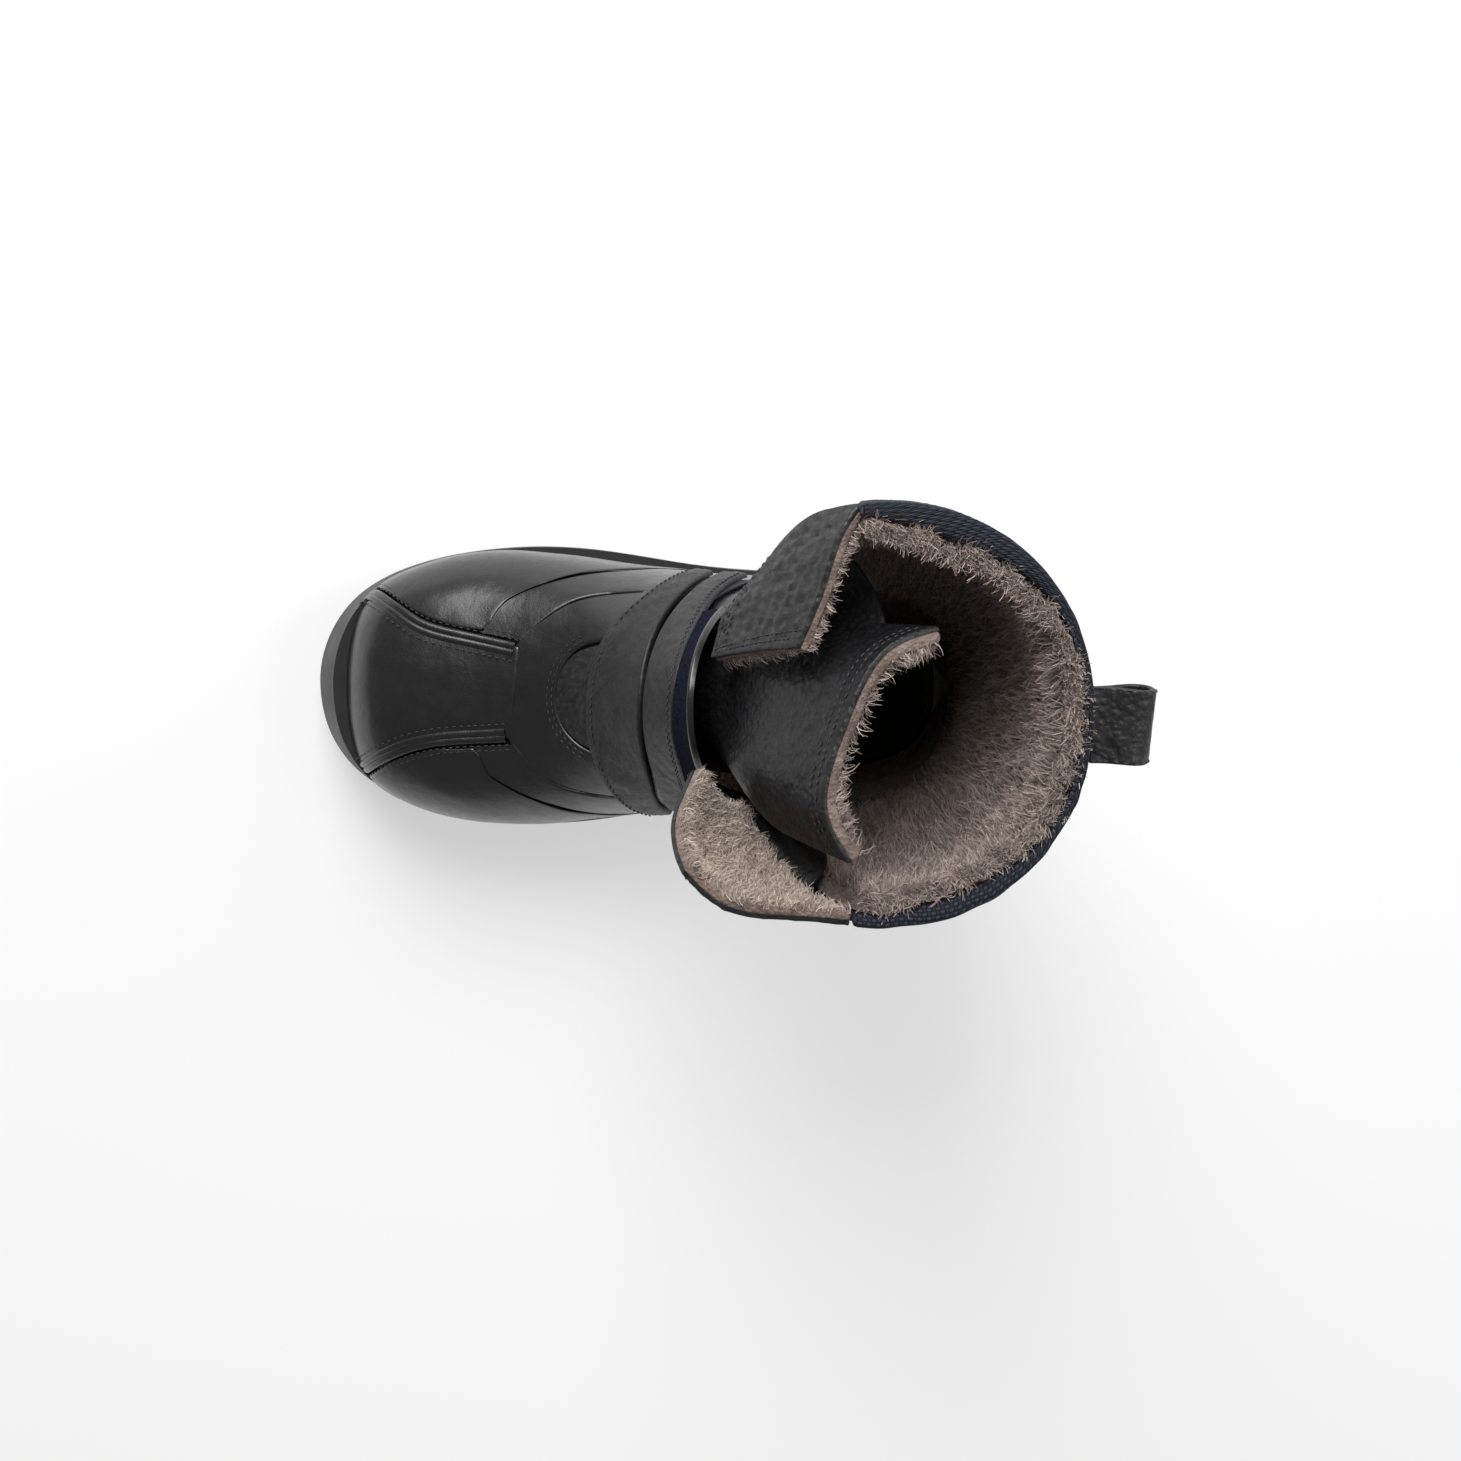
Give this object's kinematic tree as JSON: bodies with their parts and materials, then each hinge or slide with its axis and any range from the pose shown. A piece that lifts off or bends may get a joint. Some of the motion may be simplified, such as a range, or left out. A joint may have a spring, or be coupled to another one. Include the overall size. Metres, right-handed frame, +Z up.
{
  "type": "winter boot",
  "caption": "Youth winter boot with a cupped rubber sole, leather foot, two hook-and-loop straps, woven shaft and wool lining, front flaps turned open.",
  "frame": {"origin": "on the ground under the middle of the sole", "axes": "+Z up along the shaft, +Y from the toe to the heel, +X to the wearer's inner side (a right boot)"},
  "size_m": [0.1128, 0.2387, 0.1961],
  "materials": {
    "smooth_leather": "satin",
    "grain_leather": "grained",
    "woven_fabric": "basket weave",
    "wool_lining": "curled pile",
    "loop_pile": "loop pile",
    "hook_tape": "hooks",
    "rubber": "satin",
    "foam": "matte",
    "steel": "plain",
    "board": "matte",
    "felt": "felt",
    "stiffener": "matte"
  },
  "bodies": {
    "boot": {"outsole": "rubber", "midsole": "foam", "shank": "steel", "insole_board": "board", "footbed": "felt", "toe_apron": "smooth_leather", "vamp_wing_lateral": "smooth_leather", "vamp_wing_medial": "smooth_leather", "mid_band_lateral": "smooth_leather", "mid_band_medial": "smooth_leather", "throat_panel": "smooth_leather", "throat_insert": "smooth_leather", "quarter_lateral": "smooth_leather", "quarter_medial": "smooth_leather", "heel_cap": "smooth_leather", "shaft_textile_lateral": "woven_fabric", "shaft_textile_medial": "woven_fabric", "collar_binding": "woven_fabric", "backstay": "grain_leather", "toe_puff": "stiffener", "heel_counter": "stiffener", "foot_lining": "wool_lining", "heel_lining_lateral": "wool_lining", "heel_lining_medial": "wool_lining", "shaft_lining": "wool_lining", "loop_patch_lower": "loop_pile", "loop_patch_upper": "loop_pile", "loop_tab": "grain_leather"},
    "lower_strap": {"lower_strap": "smooth_leather", "lower_strap_hook": "hook_tape"},
    "upper_strap": {"upper_strap": "grain_leather", "upper_strap_tape": "loop_pile", "upper_strap_hook": "hook_tape"},
    "lateral_flap": {"lateral_flap": "grain_leather", "lateral_flap_fur": "wool_lining"},
    "medial_flap": {"medial_flap": "grain_leather", "medial_flap_fur": "wool_lining"},
    "tongue": {"tongue": "grain_leather", "tongue_fur": "wool_lining"},
    "pull_loop": {"pull_loop": "grain_leather"}
  },
  "joints": [
    {"name": "lower_strap_hinge", "type": "hinge", "parent": "boot", "child": "lower_strap", "pos_m": [0.0407, 0.0054, 0.0613], "axis": [0.1595, 0.8833, 0.4408], "range_deg": [0, 60]},
    {"name": "upper_strap_hinge", "type": "hinge", "parent": "boot", "child": "upper_strap", "pos_m": [0.0407, 0.0054, 0.0613], "axis": [0.1595, 0.8833, 0.4408], "range_deg": [0, 60]},
    {"name": "lateral_flap_hinge", "type": "hinge", "parent": "boot", "child": "lateral_flap", "pos_m": [-0.0475, 0.0135, 0.1499], "axis": [0.3865, -0.3785, -0.8411], "range_deg": [0, 30]},
    {"name": "medial_flap_hinge", "type": "hinge", "parent": "boot", "child": "medial_flap", "pos_m": [0.0385, 0.0165, 0.1499], "axis": [0.3762, 0.3802, 0.8449], "range_deg": [0, 14]},
    {"name": "tongue_hinge", "type": "hinge", "parent": "boot", "child": "tongue", "pos_m": [0, -0.0085, 0.1015], "axis": [-1, 0, 0], "range_deg": [0, 7]},
    {"name": "pull_loop_hinge", "type": "hinge", "parent": "boot", "child": "pull_loop", "pos_m": [0, 0.1061, 0.183], "axis": [1, 0, 0], "range_deg": [-20, 20]}
  ]
}
